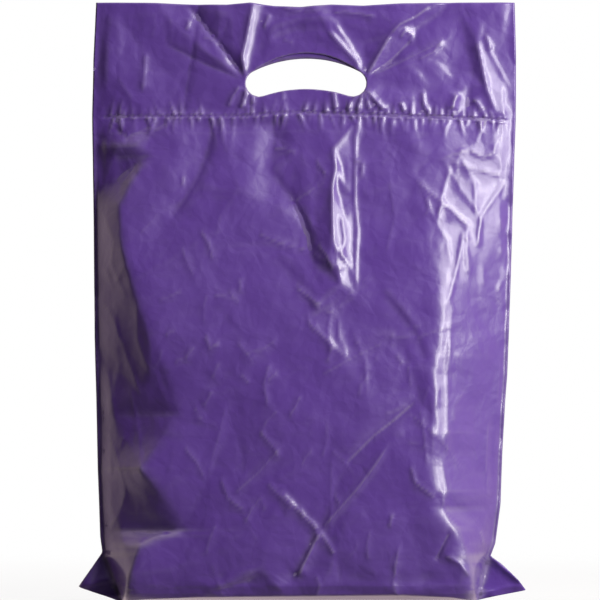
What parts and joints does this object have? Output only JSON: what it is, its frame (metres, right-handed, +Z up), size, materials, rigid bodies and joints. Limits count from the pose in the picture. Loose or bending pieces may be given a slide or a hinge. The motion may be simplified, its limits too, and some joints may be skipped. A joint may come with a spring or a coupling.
{
  "type": "plastic carrier bag",
  "caption": "Glossy film carrier bag with a turned-over top, a curved die-cut handle slot, side welds and an opened bottom gusset with corner ears.",
  "frame": {"origin": "middle of the flat base, on the surface that the bag stands on", "axes": "+Z up from the base to the mouth, the front panel faces -Y, +X along the width"},
  "size_m": [0.353, 0.083, 0.47],
  "materials": {
    "purple_film": "glossy creased film"
  },
  "bodies": {
    "root": {"carrier_bag": "purple_film"}
  },
  "joints": []
}
